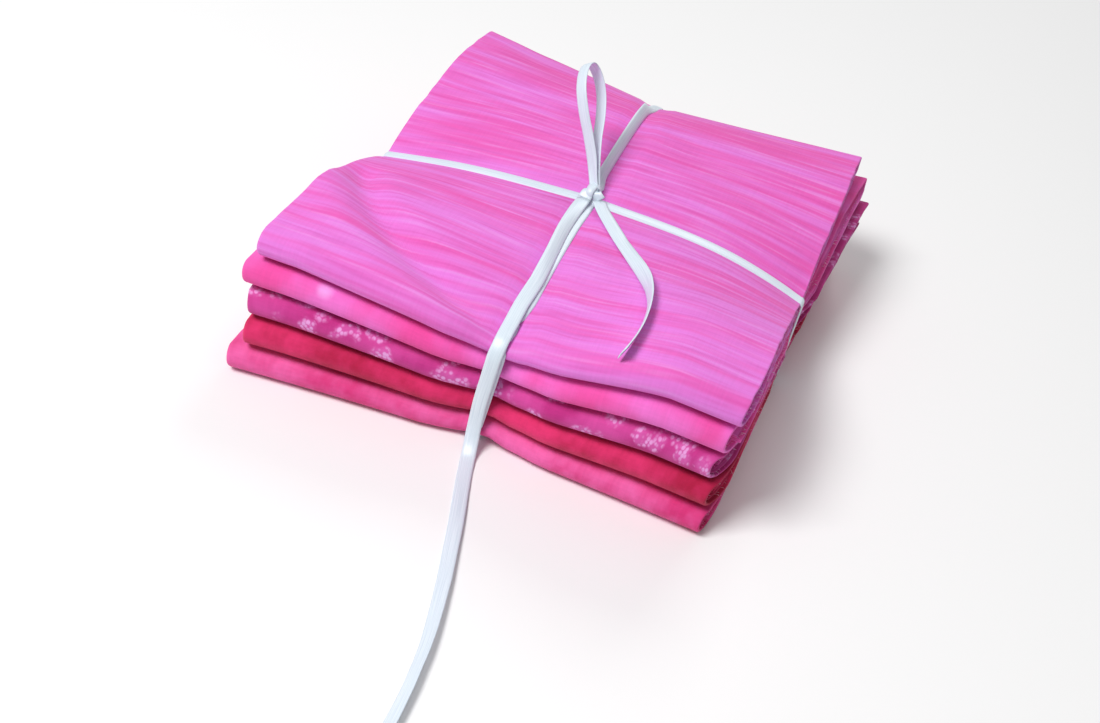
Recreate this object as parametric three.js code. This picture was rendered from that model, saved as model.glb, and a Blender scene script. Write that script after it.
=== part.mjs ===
// Fat quarter bundle. Five fat quarters of printed quilting cotton, each folded in quarters across its width
// and then in thirds, are stacked and tied crosswise with narrow satin ribbon, knotted on top with one loop.
// Millimetres. X runs along the front edge, Y goes to the back and Z goes up from the table.
// A point of the stack is placed by x and y and by its level, 0 at the table and 1 at the top of the stack.
import * as THREE from 'three';

// Cut size of one fat quarter, and half the pad that it folds to
const CUT_WIDTH = 559;
const CUT_DEPTH = 457;
const HALF_X = CUT_WIDTH / 8;
const HALF_Y = CUT_DEPTH / 6;

// Heights in the stack: one folded fat quarter, the gap to its neighbour, and one layer of four plies
const PITCH = 9.3;
const GAP = 0.75;
const LAYER = 2.35;
const BODY = PITCH - GAP;
const STACK = 5 * PITCH;
const TOP_LEVEL = 1 - GAP / 2 / STACK;

// The fat quarters, top first. Columns: name, colour, then how far the edges reach: the front edge at its
// left, middle and right, the back edge, the left and right edges at the front and at the back, and how far
// the front corners are rounded in.
const FAT_QUARTERS = [
  { name: 'fat_quarter_streaked', colour: 0xe768bd, front: [-78, -76.5, -74], back: 77,
    left: [-70.6, -70], right: [70.6, 70.8], corner: 0.6 },
  { name: 'fat_quarter_spotted', colour: 0xf062ae, front: [-81, -77, -75.5], back: 77.5,
    left: [-74, -69.5], right: [69.8, 75.2], corner: 1.5 },
  { name: 'fat_quarter_motif', colour: 0xcf4a92, front: [-83, -77, -76.5], back: 76.5,
    left: [-72.6, -70.5], right: [70, 78.5], corner: 2.5 },
  { name: 'fat_quarter_crimson', colour: 0xc22a5e, front: [-86, -77.5, -77.5], back: 77.5,
    left: [-71.6, -69.5], right: [70.6, 74.5], corner: 2.5 },
  { name: 'fat_quarter_rose', colour: 0xe45a9c, front: [-88.5, -78, -78.5], back: 77,
    left: [-74.5, -70.5], right: [70.3, 74], corner: 1.5 },
];

// Lines to both sides of the ribbon where the pad's surface bends, all of them on the top piece, which shows
const LINES = [2.4, 11, 27, 46];
const LINES_TOP = [2.4, 6, 11, 19, 27, 36.5, 46, 56];
const LINES_BOTTOM = [2.4, 6, 11, 27, 46];
const ENDS_X = [66.5, HALF_X];
const END_Y = 66;

// Free ends of the folded layers, and the part of an edge where a layer gets thinner
const BOTTOM_LAYER_END = 74.5;
const TUCKED_LAYER_END = -65;
const EDGE_THIN = 0.45;
const EDGE_LENGTH = 3.4;

// The middle of the pad stays in line below the ribbon, and the edges shift more and more towards each end
const STEADY = 20;
const FULL_SHIFT_Y = 70;

// The ribbon pulls every edge to one line where it passes, over a flat stretch that then fades out
const TIED = { left: -68.6, right: 70.9, front: -75, back: 76 };
const TIED_FLAT = 4.6;
const TIED_FADE = 19;

// How far the tied ribbon presses the top down: all along it, and more towards each edge, with the power of
// that rise, how far it spreads to both sides of the ribbon, and the power of that spread
const PRESS_MIDDLE = 4.1;
const PRESS = {
  left: { drop: 10, rise: 1.5, reach: [38, 48], spread: 1.3 },
  right: { drop: 10, rise: 2.6, reach: [44, 48], spread: 1.3 },
  front: { drop: 10, rise: 1.6, reach: [60, 42], spread: 1.1 },
  back: { drop: 8.6, rise: 5, reach: [72, 83], spread: 1 },
};

// Front corners that sink, and how much the middle of the stack swells up at the back right corner
const DROOPS = [{ x: -72, y: -80, drop: 3.5, reach: 70 }, { x: 72, y: -78, drop: 1.3, reach: 34 }];
const SWELL = { rise: 0.24, from: 30 };

// The puffed quarter, the groove below the ribbon, and the long soft crease of the front left quarter
const PUFF = { x: 50, y: -52, rise: 1.6, reach: 34 };
const GROOVE = { depth: 1, flat: 2.4, reach: 6 };
const SEAT_WIDTH = 2.4;
const CREASE = { from: [-62, -19], by: [-42, -57], to: [-2, -70], depth: 1.7, width: 7 };
const CREASE_STEPS = 12;
const RELIEF_FROM = 0.8;

// The underside lies flat but for channels that hold the ribbon, a pocket where they cross, and edges that
// the ribbon lifts
const CHANNEL = { depth: 1.5, flat: 6, reach: 11 };
const POCKET = { depth: 3, flat: 6, reach: 11 };
const EDGE_LIFT = { rise: 2.4, across: 24, inward: 14 };

// The ribbon: half its width and thickness with its chamfered edges, and its clearance
const RIBBON = { half: 2.1, thin: 0.5, chamferX: 0.35, chamferY: 0.25 };
const CLEAR = 0.3;
const SEAT = CLEAR + RIBBON.thin;
const RIBBON_COLOUR = 0xeef1f4;
const WRAP_CORNER = { left: 1.8, right: 1.8, front: 4, back: 2.4 };
const UNDER_LOW = 0.65;
const UNDER_HIGH = 2;
const UNDER_OFFSET = 3.2;

// How far the ribbon runs off the middle at each edge, and how far it leans sideways down the front
const BAND_OFF = { left: -2.5, right: 0.5, front: 4.8, back: -5 };
const FRONT_LEAN = -2.6;

// The knot, and the loop's direction, its open side, and half its outline from the knot to the tip
const KNOT = { x: 4.2, y: 3.9, z: 2.2, waist: 0.1, turn: 0.6 };
const KNOT_Z = 44.8;
const WRAP_END = 4.8;
const WRAP_SIDE_END = 65;
const LOOP_DIRECTION = new THREE.Vector3(-17.5, 25.9, 30).normalize();
const LOOP_FACE = new THREE.Vector3(0.73, -0.48, 0.49);
const LOOP_START = 3.3;
const LOOP_OUTLINE = [
  { along: 0, across: 0.85 },
  { along: 5.5, across: 1.3 },
  { along: 12.5, across: 2.5 },
  { along: 20, across: 3.5 },
  { along: 27, across: 3.6 },
  { along: 32, across: 2.7 },
  { along: 34.6, across: 1.3 },
];
const LOOP_TIP = 35.3;

// The free ends. Columns: x, y, height above what is below, and roll from lying flat, in degrees.
const SHORT_TAIL = [
  { x: 3.1, y: -3.5, lift: 2.5, roll: 0 },
  { x: 6, y: -8, lift: 1.9, roll: 0 },
  { x: 11, y: -14, lift: 1.5, roll: 5 },
  { x: 16.5, y: -20.3, lift: 1.5, roll: 10 },
  { x: 22, y: -26.8, lift: 1.9, roll: 20 },
  { x: 27, y: -33.6, lift: 2.4, roll: 32 },
  { x: 31.2, y: -41, lift: 2.8, roll: 45 },
  { x: 34, y: -48.8, lift: 3, roll: 55 },
  { x: 35.3, y: -57, lift: 3.1, roll: 62 },
  { x: 35.4, y: -65, lift: 3.2, roll: 66 },
  { x: 34.6, y: -73, lift: 4.4, roll: 68 },
];
const SHORT_TAIL_STEPS = 16;
// The long end: first over the top on the ribbon's front run, then down the front, then along the table
const LONG_TAIL_TOP = [
  { x: -1.3, y: -5, lift: 2.9, roll: 0 },
  { x: -1.2, y: -12, lift: 2.3, roll: 0 },
  { x: -0.4, y: -24, lift: 2.2, roll: 0 },
  { x: 1.2, y: -38, lift: 2.2, roll: 0 },
  { x: 2.2, y: -50, lift: 2.5, roll: 0 },
  { x: 2.8, y: -60, lift: 2.7, roll: 0 },
];
const LONG_TAIL_FRONT = [
  { x: 3.4, y: -69.9, z: 38.5, roll: 0 },
  { x: 3.5, y: -73.1, z: 37.9, roll: 0 },
  { x: 3.5, y: -75.8, z: 36, roll: 0 },
  { x: 3.4, y: -77.7, z: 33.3, roll: 0 },
  { x: 3.3, y: -78.3, z: 30.1, roll: 0 },
  { x: 2.8, y: -78.4, z: 23, roll: 0 },
  { x: 2.2, y: -78.3, z: 16, roll: 0 },
  { x: 1.9, y: -78.2, z: 9, roll: 0 },
  { x: 1.9, y: -78.8, z: 5.8, roll: 0 },
  { x: 2.1, y: -80.7, z: 3.1, roll: 0 },
  { x: 2.6, y: -83.4, z: 1.3, roll: 0 },
  { x: 3.4, y: -86.6, z: 0.65, roll: 0 },
  { x: 6.9, y: -97, z: 0.65, roll: 0 },
  { x: 10.1, y: -106.5, z: 0.65, roll: 0 },
  { x: 13, y: -116, z: 0.65, roll: 0 },
  { x: 15.7, y: -125.5, z: 0.9, roll: 5 },
  { x: 18.3, y: -135, z: 1.4, roll: 22 },
  { x: 20.7, y: -144, z: 2.1, roll: 48 },
  { x: 22.4, y: -153, z: 2.4, roll: 60 },
  { x: 23.3, y: -162, z: 2.2, roll: 50 },
  { x: 23.4, y: -171, z: 1.7, roll: 32 },
  { x: 22.6, y: -180, z: 1.3, roll: 20 },
];
const LONG_TAIL_STEPS = 48;

const clamp = (t) => Math.min(1, Math.max(0, t));
const mix = (a, b, t) => a + (b - a) * t;
const tent = (distance, reach) => clamp(1 - Math.max(0, Math.abs(distance) - SEAT_WIDTH) / reach);
const near = (x, y, spot) => clamp(1 - Math.hypot(x - spot.x, y - spot.y) / spot.reach);
const plateau = (distance, flat, reach) => clamp((reach - Math.abs(distance)) / (reach - flat));

// Centre line of the ribbon across the top: y of the side-to-side run, x of the front-to-back run
const bandY = (x) => (x < 0 ? -BAND_OFF.left * x : BAND_OFF.right * x) / HALF_X;
const bandX = (y) => (y < 0 ? -BAND_OFF.front * y : BAND_OFF.back * y) / HALF_Y;

// How far one side of the tie presses the top down, off being the distance from the ribbon's centre line
function pressOf(side, along, off) {
  const reach = off < 0 ? side.reach[0] : side.reach[1];
  return side.drop * Math.min(1, along) ** side.rise * tent(off, reach) ** side.spread;
}

function pressAt(x, y) {
  const offY = y - bandY(x);
  const offX = x - bandX(y);
  const side = pressOf(x < 0 ? PRESS.left : PRESS.right, Math.abs(x) / HALF_X, offY);
  const end = pressOf(y < 0 ? PRESS.front : PRESS.back, Math.abs(y) / HALF_Y, offX);
  const middle = PRESS_MIDDLE * tent(offY, PRESS.left.reach[1]) ** PRESS.left.spread;
  const puff = PUFF.rise * near(x, y, PUFF);
  const droop = DROOPS.reduce((sum, corner) => sum + corner.drop * near(x, y, corner), 0);
  return middle + side + end + droop - puff;
}

function creasePoint(t) {
  const along = (k) => (1 - t) ** 2 * CREASE.from[k] + 2 * t * (1 - t) * CREASE.by[k] + t * t * CREASE.to[k];
  return [along(0), along(1)];
}

// Depth of the narrow forms of the top surface: the groove below the ribbon and the long crease
function reliefAt(x, y) {
  const offX = Math.abs(x - bandX(y));
  const offY = Math.abs(y - bandY(x));
  const groove = GROOVE.depth * plateau(Math.min(offX, offY), GROOVE.flat, GROOVE.reach);
  let nearest = Infinity;
  for (let i = 0; i <= CREASE_STEPS; i += 1) {
    const [cx, cy] = creasePoint(i / CREASE_STEPS);
    nearest = Math.min(nearest, Math.hypot(x - cx, y - cy));
  }
  return groove + CREASE.depth * Math.exp(-((nearest / CREASE.width) ** 2));
}

// Height of the underside above the table
function undersideAt(x, y) {
  const offX = x - bandX(y);
  const offY = y - bandY(x);
  const [awayX, awayY] = [Math.abs(x), Math.abs(y)];
  const channel = CHANNEL.depth * plateau(Math.min(awayX, awayY), CHANNEL.flat, CHANNEL.reach);
  const pocket = POCKET.depth * plateau(Math.max(awayX, awayY), POCKET.flat, POCKET.reach);
  const liftX = clamp(1 - (HALF_X - awayX) / EDGE_LIFT.inward) * tent(offY, EDGE_LIFT.across);
  const liftY = clamp(1 - (HALF_Y - awayY) / EDGE_LIFT.inward) * tent(offX, EDGE_LIFT.across);
  return Math.max(channel, pocket) + EDGE_LIFT.rise * Math.max(liftX, liftY);
}

function heightAt(x, y, level) {
  const low = undersideAt(x, y);
  const high = STACK - pressAt(x, y);
  const relief = clamp((level - RELIEF_FROM) / (1 - RELIEF_FROM)) ** 2 * reliefAt(x, y);
  return low + level * (high - low) - relief;
}

const topAt = (x, y) => heightAt(x, y, TOP_LEVEL);

// Where the left or right edge of a fat quarter lies at the line v
function edgeX(row, side, v) {
  const ends = side < 0 ? row.left : row.right;
  const tied = side < 0 ? TIED.left : TIED.right;
  const round = row.corner * clamp((-v - 60) / (HALF_Y - 60)) ** 2;
  const own = mix(ends[0], ends[1], ((v + HALF_Y) / (2 * HALF_Y)) ** 2) - side * round;
  return mix(own, tied, plateau(v, TIED_FLAT, TIED_FADE));
}

// Where the front or back edge of a fat quarter lies at the line u
function edgeY(row, side, u) {
  const [left, middle, right] = row.front;
  const away = clamp(Math.abs(u) / HALF_X);
  const own = side < 0 ? mix(middle, u < 0 ? left : right, away ** 1.3) : row.back;
  const tied = side < 0 ? TIED.front : TIED.back;
  return mix(own, tied, plateau(u, TIED_FLAT, TIED_FADE));
}

// How far the levels shift up towards the back right corner
function swellAt(u, v) {
  const { rise, from } = SWELL;
  return rise * clamp((u - from) / (HALF_X - from)) * clamp((v - from) / (HALF_Y - from));
}

// A point of a folded fat quarter, from its pad lines u and v and its level in the stack
function placeCloth(row, u, v, level) {
  const shareX = clamp((Math.abs(u) - STEADY) / (HALF_X - STEADY)) ** 2;
  const shareY = clamp((Math.abs(v) - STEADY) / (FULL_SHIFT_Y - STEADY)) ** 2;
  const sideX = Math.sign(u);
  const sideY = Math.sign(v);
  const skewX = bandX(v) * (1 - Math.abs(u) / HALF_X);
  const skewY = bandY(u) * (1 - Math.min(1, Math.abs(v) / HALF_Y));
  const x = u + skewX + shareX * (edgeX(row, sideX, v) - sideX * HALF_X);
  const y = v + skewY + shareY * (edgeY(row, sideY, u) - sideY * HALF_Y);
  return new THREE.Vector3(x, y, heightAt(x, y, level + swellAt(u, v) * level * (1 - level)));
}

// A closed solid through rings of points. A ring runs along one side of a strip and back along the other, and
// its ends are closed across the strip. The diagonals of all faces run the same way in y, so that facing
// layers fit.
function loft(rings) {
  const count = rings[0].length;
  const indices = [];
  for (let ring = 0; ring < rings.length - 1; ring += 1) {
    for (let i = 0; i < count; i += 1) {
      const next = (i + 1) % count;
      const [a, b] = [ring * count + i, ring * count + next];
      const [c, d] = [a + count, b + count];
      const towardsBack = rings[0][next].y > rings[0][i].y;
      indices.push(...(towardsBack ? [a, b, d, a, d, c] : [a, b, c, b, d, c]));
    }
  }
  const last = (rings.length - 1) * count;
  for (let i = 0; i < count / 2 - 1; i += 1) {
    const [a, b, c, d] = [i, i + 1, count - 2 - i, count - 1 - i];
    indices.push(a, c, b, a, d, c, last + a, last + b, last + c, last + a, last + c, last + d);
  }
  const numbers = rings.flat().flatMap((p) => p.toArray());
  const geometry = new THREE.BufferGeometry();
  geometry.setAttribute('position', new THREE.Float32BufferAttribute(numbers, 3));
  geometry.setIndex(indices);
  geometry.computeVertexNormals();
  return geometry;
}

// Points of an arc in the folded section, both angles in degrees
function arc(v, h, radius, from, to, steps) {
  return Array.from({ length: steps + 1 }, (_, i) => {
    const angle = THREE.MathUtils.degToRad(mix(from, to, i / steps));
    const [nv, nh] = [Math.cos(angle), Math.sin(angle)];
    return { v: v + radius * nv, h: h + radius * nh, nv, nh };
  });
}

const run = (lines, h, nh) => lines.map((v) => ({ v, h, nv: 0, nh }));

// Middle line of the folded layers: the bottom layer from its free end to the front fold, up round the front
// fold, the top layer to the back, and the back fold down to the layer tucked between them
function foldedPath(hiddenLines, topLines) {
  const half = LAYER / 2;
  const bothSides = (lines) => [...[...lines].reverse().map((v) => -v), ...lines, END_Y];
  const frontRadius = BODY / 2 - half;
  const middle = BODY / 2;
  const high = BODY - half;
  const backRadius = (high - middle) / 2;
  const forward = bothSides(hiddenLines).reverse();
  return [
    ...run([BOTTOM_LAYER_END, ...forward], half, -1),
    ...arc(-HALF_Y + BODY / 2, middle, frontRadius, 270, 90, 6),
    ...run(bothSides(topLines), high, 1),
    ...arc(HALF_Y - backRadius - half, (high + middle) / 2, backRadius, 90, -90, 4),
    ...run([...forward, TUCKED_LAYER_END], middle, -1),
  ];
}

// The solid of one folded fat quarter
function foldedCloth(row, index) {
  const top = index === 0;
  const bottom = index === FAT_QUARTERS.length - 1;
  const path = foldedPath(bottom ? LINES_BOTTOM : LINES, top ? LINES_TOP : LINES);
  const half = [...((top && LINES_TOP) || (bottom && LINES_BOTTOM) || LINES), ...ENDS_X];
  const stations = [...[...half].reverse().map((u) => -u), ...half];
  const base = bottom ? 0 : (FAT_QUARTERS.length - 1 - index) * PITCH + GAP / 2;
  const sides = [...path.map((p) => ({ p, out: -1 })), ...[...path].reverse().map((p) => ({ p, out: 1 }))];
  const offset = ({ p, out }, thin) => {
    const reach = out * thin * LAYER / 2;
    return { v: p.v + reach * p.nv, h: p.h + reach * p.nh };
  };
  const rings = stations.map((u) => {
    const thin = mix(EDGE_THIN, 1, Math.sqrt(clamp((HALF_X - Math.abs(u)) / EDGE_LENGTH)));
    return sides.map((point) => {
      const { v, h } = offset(point, thin);
      return placeCloth(row, u, v, (base + h) / STACK);
    });
  });
  return loft(rings);
}

// The ribbon's flat section, seen with its face up
function ribbonOutline() {
  const { half, thin, chamferX, chamferY } = RIBBON;
  return [
    [half, -thin + chamferY], [half, thin - chamferY], [half - chamferX, thin], [-half + chamferX, thin],
    [-half, thin - chamferY], [-half, -thin + chamferY], [-half + chamferX, -thin], [half - chamferX, -thin],
  ].map(([x, y]) => new THREE.Vector2(x, y));
}

// A flat ribbon through points that each have the direction that its face looks in
function flatRibbon(points) {
  const outline = ribbonOutline();
  const rings = points.map(({ at, face }, i) => {
    const before = points[Math.max(0, i - 1)].at;
    const after = points[Math.min(points.length - 1, i + 1)].at;
    const tangent = after.clone().sub(before).normalize();
    const side = face.clone().cross(tangent).normalize();
    const up = tangent.clone().cross(side);
    return outline.map((p) => at.clone().addScaledVector(side, p.x).addScaledVector(up, p.y));
  });
  return loft(rings);
}

const point = (x, y, z, fx, fy, fz) => ({ at: new THREE.Vector3(x, y, z), face: new THREE.Vector3(fx, fy, fz) });

// One turn of the ribbon over an edge, out being the direction away from the stack
function edgeTurn(x, y, z, out, reach, from, to) {
  const steps = 4;
  return Array.from({ length: steps + 1 }, (_, i) => {
    const angle = THREE.MathUtils.degToRad(mix(from, to, i / steps));
    const away = Math.cos(angle);
    const up = Math.sin(angle);
    const [outX, outY] = [out[0] * away, out[1] * away];
    return point(x + outX * reach, y + outY * reach, z + up * reach, outX, outY, up);
  });
}

// The ribbon down one side of the stack, from its top edge to its bottom edge, leaning along X on the way
function sideRun(out, x, y, radius, lean = 0) {
  const inX = x - out[0] * (radius - SEAT);
  const inY = y - out[1] * (radius - SEAT);
  return [
    ...edgeTurn(inX, inY, topAt(inX, inY) + SEAT - radius, out, radius, 90, 0),
    ...edgeTurn(inX + lean, inY, UNDER_LOW + radius, out, radius, 0, -90),
  ];
}

// The two strands below the stack hook round each other. Each comes in high over the other one, turns through
// a quarter circle and leaves low. The turn is given for the strand from the left to the front.
function underTurn(sign) {
  const d = UNDER_OFFSET;
  const inner = 0.2;
  const radius = d - inner;
  const turn = [0, 30, 60, 90].map((degrees) => {
    const angle = THREE.MathUtils.degToRad(degrees);
    const z = mix(UNDER_HIGH, UNDER_LOW, degrees / 90);
    return [inner + radius * Math.sin(angle), inner + radius * Math.cos(angle), z];
  });
  const rows = [
    [-9.2, d, UNDER_LOW],
    [-5.8, d, UNDER_HIGH],
    [-1, d, UNDER_HIGH],
    ...turn,
    [d, -1, UNDER_LOW],
    [d, -6, UNDER_LOW],
  ];
  return rows.map(([x, y, z]) => point(sign * x, sign * y, z, 0, 0, -1));
}

// The whole wrap as one ribbon: from the knot over the front edge and under the stack, where it turns to the
// left, up and over the top to the right, under the stack again, where it turns to the back, and up to the knot
function ribbonWrap() {
  const onTop = (x, y) => point(x, y, topAt(x, y) + SEAT, 0, 0, 1);
  const halfX = [...LINES_TOP, WRAP_SIDE_END];
  const linesX = [...[...halfX].reverse().map((u) => -u), ...halfX];
  const backY = [WRAP_END, ...LINES_TOP.filter((v) => v > WRAP_END), END_Y];
  const frontY = backY.map((v) => -v);
  const front = sideRun([0, -1], bandX(TIED.front), TIED.front, WRAP_CORNER.front, FRONT_LEAN);
  const back = sideRun([0, 1], bandX(TIED.back), TIED.back, WRAP_CORNER.back);
  const left = sideRun([-1, 0], TIED.left, bandY(TIED.left), WRAP_CORNER.left);
  const right = sideRun([1, 0], TIED.right, bandY(TIED.right), WRAP_CORNER.right);
  return [
    ...frontY.map((y) => onTop(bandX(y), y)),
    ...front,
    ...underTurn(1).reverse(),
    ...[...left].reverse(),
    ...linesX.map((x) => onTop(x, bandY(x))),
    ...right,
    ...underTurn(-1),
    ...[...back].reverse(),
    ...backY.reverse().map((y) => onTop(bandX(y), y)),
  ];
}

// The knot: a small hard lump, drawn in across the middle where the last turn bites
function knot() {
  const geometry = new THREE.SphereGeometry(1, 16, 10);
  const position = geometry.attributes.position;
  const p = new THREE.Vector3();
  for (let i = 0; i < position.count; i += 1) {
    p.fromBufferAttribute(position, i);
    const around = Math.atan2(p.y, p.x);
    const swell = 1 - KNOT.waist * (1 + Math.cos(2 * (around - KNOT.turn))) / 2;
    position.setXYZ(i, p.x * KNOT.x * swell, p.y * KNOT.y * swell, p.z * KNOT.z);
  }
  return geometry;
}

// The loop of the bow, a teardrop that leans up and back from the knot
function bowLoop() {
  const side = LOOP_FACE.clone().cross(LOOP_DIRECTION).normalize();
  const rows = [
    ...LOOP_OUTLINE.map(({ along, across }) => [along, -across]),
    [LOOP_TIP, 0],
    ...[...LOOP_OUTLINE].reverse().map(({ along, across }) => [along, across]),
  ];
  const inPlane = (along, across) => LOOP_DIRECTION.clone().multiplyScalar(along).addScaledVector(side, across);
  const start = inPlane(LOOP_START, 0).add(new THREE.Vector3(0, 0, KNOT_Z));
  return rows.map(([along, across], i) => {
    const [a0, c0] = rows[Math.max(0, i - 1)];
    const [a1, c1] = rows[Math.min(rows.length - 1, i + 1)];
    return { at: inPlane(along, across).add(start), face: inPlane(c1 - c0, a0 - a1).normalize() };
  });
}

// A free end's curve. It lies flat across the X direction, turned about its own line by the roll in the rows.
class TailCurve extends THREE.CatmullRomCurve3 {
  constructor(route) {
    super(route.map(({ x, y, z }) => new THREE.Vector3(x, y, z)), false, 'centripetal');
    this.rolls = route.map(({ roll }) => THREE.MathUtils.degToRad(roll));
  }

  rollAt(u) {
    const place = this.getUtoTmapping(u) * (this.rolls.length - 1);
    const row = Math.min(this.rolls.length - 2, Math.floor(place));
    return mix(this.rolls[row], this.rolls[row + 1], place - row);
  }

  computeFrenetFrames(steps) {
    const tangents = Array.from({ length: steps + 1 }, (_, i) => this.getTangentAt(i / steps));
    const normals = tangents.map((tangent, i) => {
      const side = new THREE.Vector3(1, 0, 0).addScaledVector(tangent, -tangent.x).normalize();
      return side.applyAxisAngle(tangent, this.rollAt(i / steps));
    });
    const binormals = normals.map((side, i) => tangents[i].clone().cross(side));
    return { tangents, normals, binormals };
  }
}

function tail(route, steps) {
  const section = new THREE.Shape(ribbonOutline());
  return new THREE.ExtrudeGeometry(section, { steps, extrudePath: new TailCurve(route) });
}

const lifted = (rows) => rows.map(({ x, y, lift, roll }) => ({ x, y, z: topAt(x, y) + lift, roll }));

function add(group, name, geometry, colour, roughness, place = [0, 0, 0]) {
  const material = new THREE.MeshStandardMaterial({ color: colour, roughness, metalness: 0 });
  const mesh = new THREE.Mesh(geometry, material);
  mesh.name = name;
  mesh.position.set(...place);
  group.add(mesh);
  return mesh;
}

const CLOTH_ROUGHNESS = 0.85;
const RIBBON_ROUGHNESS = 0.4;

const bundle = new THREE.Group();
FAT_QUARTERS.forEach((row, i) => add(bundle, row.name, foldedCloth(row, i), row.colour, CLOTH_ROUGHNESS));
add(bundle, 'ribbon_wrap', flatRibbon(ribbonWrap()), RIBBON_COLOUR, RIBBON_ROUGHNESS);
add(bundle, 'ribbon_knot', knot(), RIBBON_COLOUR, RIBBON_ROUGHNESS, [0, 0, KNOT_Z]);
add(bundle, 'ribbon_loop', flatRibbon(bowLoop()), RIBBON_COLOUR, RIBBON_ROUGHNESS);

// The origin is below the middle of everything but the two free ends
const size = new THREE.Box3().setFromObject(bundle);
const middle = size.getCenter(new THREE.Vector3());

add(bundle, 'ribbon_tail_short', tail(lifted(SHORT_TAIL), SHORT_TAIL_STEPS), RIBBON_COLOUR, RIBBON_ROUGHNESS);
const longRoute = [...lifted(LONG_TAIL_TOP), ...LONG_TAIL_FRONT];
add(bundle, 'ribbon_tail_long', tail(longRoute, LONG_TAIL_STEPS), RIBBON_COLOUR, RIBBON_ROUGHNESS);
bundle.position.set(-middle.x, -middle.y, 0);

export default bundle;
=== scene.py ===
# Fat quarter bundle: the cloth, the ribbon and their finishes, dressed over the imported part.
# Sizes are in millimetres, in the maker's frame: X along the front edge, Y to the back, Z up, and the knot
# over the zero point. Meshes are written in metres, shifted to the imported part's frame.
import math

import bmesh
import bpy
import numpy as np
from mathutils import Matrix, Vector


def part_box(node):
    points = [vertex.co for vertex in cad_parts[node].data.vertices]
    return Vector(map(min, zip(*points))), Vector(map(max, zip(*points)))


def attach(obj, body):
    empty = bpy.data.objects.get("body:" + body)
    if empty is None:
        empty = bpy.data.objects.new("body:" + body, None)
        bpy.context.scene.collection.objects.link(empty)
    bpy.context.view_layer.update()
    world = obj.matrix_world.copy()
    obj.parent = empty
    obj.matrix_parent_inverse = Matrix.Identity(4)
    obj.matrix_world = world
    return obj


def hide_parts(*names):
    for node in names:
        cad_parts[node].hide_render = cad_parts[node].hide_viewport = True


MM = 0.001
PHOTO_WIDTH = 1100

# Camera fitted to the photograph
CAMERA_FOCAL_PX = 1210.4
CAMERA_AZIMUTH = 14.62
CAMERA_ELEVATION = 39.87
CAMERA_ROLL = 12.0
CAMERA_TARGET = (5.89, -31.97, 0.0)
CAMERA_DISTANCE = 374.5
SENSOR_WIDTH = 36.0

# Light: name, place and size in metres, power in watts
LIGHTS = [("window", (0.05, 1.05, 0.95), 0.55, 4.5), ("front lamp", (-0.42, -0.5, 1.0), 0.42, 11.3)]
WORLD_STRENGTH = 0.3
FLOOR_TONE = 0.92

# Cut size of one fat quarter, and half the pad that it folds to
CUT_WIDTH = 559.0
CUT_DEPTH = 457.0
HALF_X = CUT_WIDTH / 8
HALF_Y = CUT_DEPTH / 6

# Heights in the stack
PITCH = 9.3
GAP = 0.75
LAYER = 2.35
BODY = PITCH - GAP
STACK = 5 * PITCH
PLY = LAYER / 4
CLOTH_THICKNESS = 0.26
TABLE_GAP = 0.12

# The fat quarters, top first: the reach of the front edge at its left, middle and right, of the back edge,
# and of the side edges at the front and at the back. Then how far the front corners are rounded in, how far
# the tied front edge stands out, and how far the right and the left ends of the layers are shifted: bottom
# layer, front fold, top layer, back fold, tucked layer. Last comes the colour of the loose threads.
FAT_QUARTERS = [
    dict(name="streaked", front=(-78, -76.5, -74), back=77, left=(-70.6, -70), right=(70.6, 70.8),
         corner=0.6, bulge=0, step_right=(0.4, -0.4, 0, 0, 0.3), step_left=(0.5, 0.2, 0, 0, 0.6),
         thread=(232, 130, 214)),
    dict(name="spotted", front=(-81, -77, -75.5), back=77.5, left=(-74, -69.5), right=(69.8, 75.2),
         corner=1.5, bulge=0, step_right=(1.2, -0.6, -0.5, 0, 1.5), step_left=(0.6, 0, 0.4, 0, -0.4),
         thread=(236, 110, 190)),
    dict(name="motif", front=(-83, -77, -76.5), back=76.5, left=(-72.6, -70.5), right=(70, 78.5),
         corner=2.5, bulge=0.3, step_right=(0.6, -2.0, 1.4, 0, -1.6), step_left=(0.4, 0.3, -0.6, 0, 0.2),
         thread=(214, 96, 170)),
    dict(name="crimson", front=(-86, -77.5, -77.5), back=77.5, left=(-71.6, -69.5), right=(70.6, 74.5),
         corner=2.5, bulge=0.9, step_right=(0.9, -0.5, 0.7, 0, -0.8), step_left=(-0.4, 0.2, 0.3, 0, 0.6),
         thread=(206, 50, 100)),
    dict(name="rose", front=(-88.5, -78, -78.5), back=77, left=(-74.5, -70.5), right=(70.3, 74),
         corner=1.5, bulge=1.8, step_right=(0.2, -0.4, 0.9, 0, 0.4), step_left=(0.3, 0.1, -0.5, 0, 0.4),
         thread=(228, 90, 154)),
]
BOTTOM_LAYER_END = 71.5
TUCKED_LAYER_END = -71.0
INNER_BUNCH = 0.7
STEADY = 20.0
FULL_SHIFT_Y = 70.0
CORNER_FROM = 60.0
EDGE_POWER = 1.3

# Uneven ends of the layers: where they set in, the plies with a cut edge and their seeds, and how far the cut
# edges and the folded ends wander, with the longest wave of each
ENDS_FROM = 45.0
CUT_PLIES = ((-1.5, 11), (-0.5, 12))
CUT_WANDER, CUT_WAVE = 0.7, 300
SLOW_WANDER, SLOW_WAVE = 0.35, 180
QUICK_WANDER, QUICK_WAVE, QUICK_WAVE_TOP = 0.28, 70, 34

# Spacing of the cloth's mesh lines, in the fold in quarters and in the fold in thirds, where it shows and not
SPACING_TOP = (2.6, 2.2)
SPACING = (5.0, 5.0)
SPACING_HIDDEN = 5.5

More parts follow.
